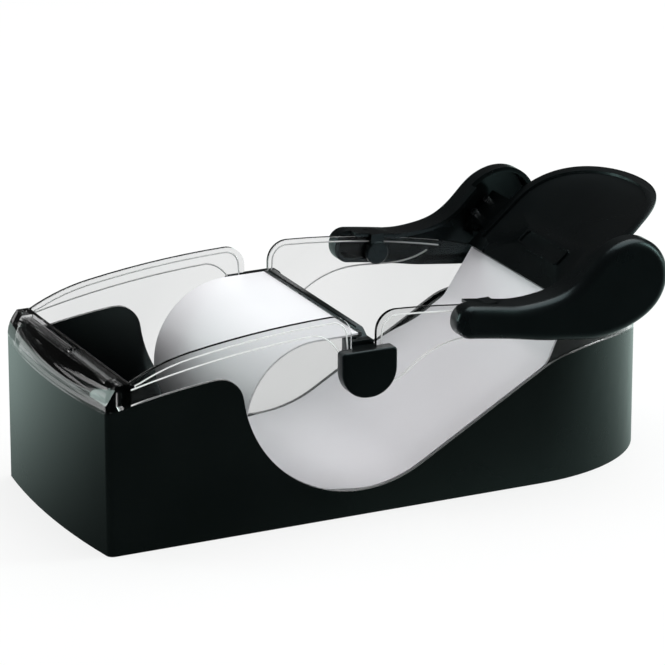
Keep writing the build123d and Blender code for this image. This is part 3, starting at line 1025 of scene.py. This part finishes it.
@dataclass(frozen=True)
class SoftBox:
    """A soft light with a square front.

    Attributes:
        name: Its name.
        place: Where it hangs, in metres.
        aim: What it points at.
        size: Its width and height in metres.
        power: Its power in watts.
        colour: Its colour.
    """

    name: str
    place: tuple[float, float, float]
    aim: tuple[float, float, float]
    size: tuple[float, float]
    power: float
    colour: tuple[float, float, float] = (1.0, 1.0, 1.0)

    def hang(self) -> None:
        """Hangs it in the scene."""
        light = bpy.data.lights.new(self.name, "AREA")
        light.shape = "RECTANGLE"
        light.size, light.size_y = self.size
        light.energy = self.power
        light.color = self.colour
        obj = bpy.data.objects.new(self.name, light)
        obj.location = self.place
        way = Vector(self.aim) - Vector(self.place)
        obj.rotation_euler = way.to_track_quat("-Z", "Y").to_euler()
        bpy.context.scene.collection.objects.link(obj)


SOFT_BOXES = (
    SoftBox("overhead", (0.5, 0.2, 1.45), (0.0, 0.0, 0.0), (1.4, 1.4), 16.5),
    SoftBox("left_box", (-1.5, 1.1, 0.5), (-0.1, 0.0, 0.05), (0.7, 1.0), 12.0, COOL),
    SoftBox("right_box", (1.4, -0.5, 0.6), (0.14, 0.0, 0.05), (0.3, 1.2), 10.0, COOL),
)


@dataclass(frozen=True)
class Studio:
    """The floor, the sky, the soft lights and the camera.

    Attributes:
        eye: The camera's place in metres.
        yaw: How far it is turned to the right, in degrees.
        pitch: How far it looks down, in degrees.
        lens: Its focal length in millimetres.
        sensor: Its sensor's width in millimetres.
        far_clip: How far it sees, in metres.
        seen_sky: The sky's level where it is looked at.
        mirrored_sky: Its level where gloss mirrors it.
        sky: Its level as a light.
        floor_size: The floor's length and width in metres.
        floor_drop: How far it lies below the feet, in metres.
        floor_grey: Its own shade.
        floor_rough: Its roughness.
        floor_glow: How much of it glows where it is looked at.
        floor_span: Where the mirrored floor gets brighter, away from the camera, in metres.
        floor_levels: How bright it is before and behind that.
    """

    eye: tuple[float, float, float] = (-0.8018, -1.6816, 0.6930)
    yaw: float = 25.80
    pitch: float = 18.65
    lens: float = 248.1
    sensor: float = 36.0
    far_clip: float = 30.0
    seen_sky: float = 1.0
    mirrored_sky: float = 0.05
    sky: float = 0.55
    floor_size: float = 8.0
    floor_drop: float = 0.0002
    floor_grey: float = 0.9
    floor_rough: float = 0.9
    floor_glow: float = 0.8
    floor_span: tuple[float, float] = (-0.1, 0.15)
    floor_levels: tuple[float, float] = (0.07, 1.0)

    def ray_level(
        self, tree: bpy.types.NodeTree, seen: float, mirrored: float, other: float
    ) -> bpy.types.NodeSocket:
        """Adds a level that depends on what kind of ray arrives.

        Args:
            tree: The node tree that gets the level.
            seen: The level for rays that look straight on or through clear plastic.
            mirrored: The level for rays that a glossy surface sends.
            other: The level for the light itself.

        Returns:
            The level's output.
        """
        ray = tree.nodes.new("ShaderNodeLightPath").outputs
        direct = add_math(tree, "MAXIMUM", ray["Is Camera Ray"], ray["Is Transmission Ray"])
        gloss = add_range(tree, ray["Is Glossy Ray"], target=(other, mirrored))
        level = add_range(tree, direct, target=(other, seen))
        tree.links.new(gloss.outputs["Result"], level.inputs["To Min"])
        return level.outputs["Result"]

    def mirrored_floor(self, tree: bpy.types.NodeTree, glow: bpy.types.Node) -> None:
        """Makes the floor that gloss mirrors dark in front and pale green behind.

        Args:
            tree: The floor's node tree.
            glow: The emission shader.
        """
        where = tree.nodes.new("ShaderNodeTexCoord")
        turn = tree.nodes.new("ShaderNodeMapping")
        turn.inputs["Rotation"].default_value = (0, 0, math.radians(self.yaw))
        split = tree.nodes.new("ShaderNodeSeparateXYZ")
        tree.links.new(where.outputs["Object"], turn.inputs["Vector"])
        tree.links.new(turn.outputs["Vector"], split.inputs["Vector"])
        fade = add_range(tree, split.outputs["Y"], self.floor_span, self.floor_levels, soft=True)
        ray = tree.nodes.new("ShaderNodeLightPath").outputs
        gloss = add_math(tree, "MULTIPLY", ray["Is Glossy Ray"], ray["Is Reflection Ray"])
        level = tree.nodes.new("ShaderNodeMix")
        level.data_type = "FLOAT"
        level.inputs["A"].default_value = 1.0
        tree.links.new(gloss, level.inputs["Factor"])
        tree.links.new(fade.outputs["Result"], level.inputs["B"])
        tree.links.new(level.outputs["Result"], glow.inputs["Strength"])
        tint = tree.nodes.new("ShaderNodeMix")
        tint.data_type = "RGBA"
        tint.inputs["A"].default_value = (1, 1, 1, 1)
        tint.inputs["B"].default_value = (*COOL, 1)
        tree.links.new(gloss, tint.inputs["Factor"])
        tree.links.new(tint.outputs["Result"], glow.inputs["Color"])

    def lay_floor(self) -> None:
        """Lays the pale floor."""
        bpy.ops.object.select_all(action="DESELECT")
        bpy.ops.mesh.primitive_plane_add(size=self.floor_size, location=(0, 0, -self.floor_drop))
        ground = bpy.context.object
        ground.name = "studio_floor"
        material = bpy.data.materials.new("studio_white")
        material.use_nodes = True
        tree = material.node_tree
        shader = shader_of(material)
        shader.inputs["Base Color"].default_value = (*(self.floor_grey,) * 3, 1)
        shader.inputs["Roughness"].default_value = self.floor_rough
        glow = tree.nodes.new("ShaderNodeEmission")
        self.mirrored_floor(tree, glow)
        blend = tree.nodes.new("ShaderNodeMixShader")
        tree.links.new(self.ray_level(tree, self.floor_glow, 1.0, 0.0), blend.inputs["Fac"])
        tree.links.new(shader.outputs[0], blend.inputs[1])
        tree.links.new(glow.outputs[0], blend.inputs[2])
        tree.links.new(blend.outputs[0], tree.nodes["Material Output"].inputs["Surface"])
        ground.data.materials.append(material)

    def light_sky(self) -> None:
        """Lights the white sky."""
        world = bpy.data.worlds.new("studio_sky")
        world.use_nodes = True
        bpy.context.scene.world = world
        tree = world.node_tree
        back = tree.nodes["Background"]
        back.inputs["Color"].default_value = (1, 1, 1, 1)
        level = self.ray_level(tree, self.seen_sky, self.mirrored_sky, self.sky)
        tree.links.new(level, back.inputs["Strength"])

    def set_camera(self) -> None:
        """Sets up the camera."""
        camera = bpy.data.cameras.new("camera")
        camera.lens = self.lens
        camera.sensor_width = self.sensor
        camera.clip_end = self.far_clip
        eye = bpy.data.objects.new("camera", camera)
        eye.location = self.eye
        eye.rotation_euler = (math.radians(90 - self.pitch), 0, math.radians(-self.yaw))
        bpy.context.scene.collection.objects.link(eye)
        bpy.context.scene.camera = eye

    def build(self) -> None:
        """Makes the whole studio."""
        bpy.context.scene.view_settings.view_transform = "Standard"
        self.light_sky()
        self.lay_floor()
        for box in SOFT_BOXES:
            box.hang()
        self.set_camera()


def main() -> None:
    """Builds the studio and dresses every part of the press."""
    logging.basicConfig(level=logging.INFO, format="%(message)s")
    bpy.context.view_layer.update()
    Studio().build()
    for part in frame["record"]["subparts"]:
        FINISHES[Slot(part["material_slot"])].dress(frame["nodes"][part["node"]])
    refined = {shell.node: shell.build() for shell in SHELLS}
    for piece in refined.values():
        log.info("refined %s", piece.name)
    log.info("made %s", WallBeads().build(refined["rail_frame"]).name)
    for piece in Film().build():
        log.info("made %s", piece.name)


if __name__ == "__main__":
    main()
